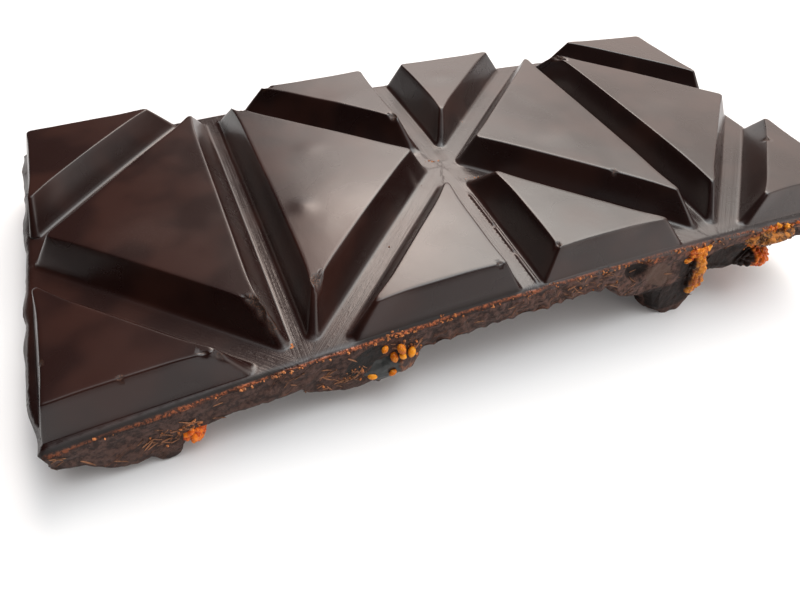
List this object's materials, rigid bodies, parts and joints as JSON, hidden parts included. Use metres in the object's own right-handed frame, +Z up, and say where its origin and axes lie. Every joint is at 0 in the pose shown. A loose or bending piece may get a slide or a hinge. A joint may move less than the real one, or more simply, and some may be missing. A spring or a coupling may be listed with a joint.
{
  "type": "chocolate bar",
  "caption": "Bar of dark chocolate with a moulded pattern of raised triangles, lying on lumps and pieces of dried fruit set in its underside.",
  "frame": {"origin": "middle of the bar's box, on the surface it lies on", "axes": "+X along the bar towards its propped-up end, +Y from the front side to the back, +Z up through the raised triangles"},
  "size_m": [0.1454, 0.0704, 0.0235],
  "materials": {
    "chocolate": "dark chocolate, satin on the moulded face, duller and rougher on the sides and underneath",
    "fig": "dried fig, dark and slightly moist, with yellow seeds",
    "peel": "dried orange fruit, rough and partly coated with chocolate"
  },
  "bodies": {
    "root": {"chocolate_bar": "chocolate", "fig_front": "fig", "peel_left": "peel", "peel_strip": "peel", "peel_low_right": "peel", "peel_crust_right": "peel", "fig_under_1": "fig", "peel_under_2": "peel", "fig_under_3": "fig", "peel_under_4": "peel", "peel_under_5": "peel", "fig_under_6": "fig", "peel_under_7": "peel", "fig_under_8": "fig"}
  },
  "joints": []
}
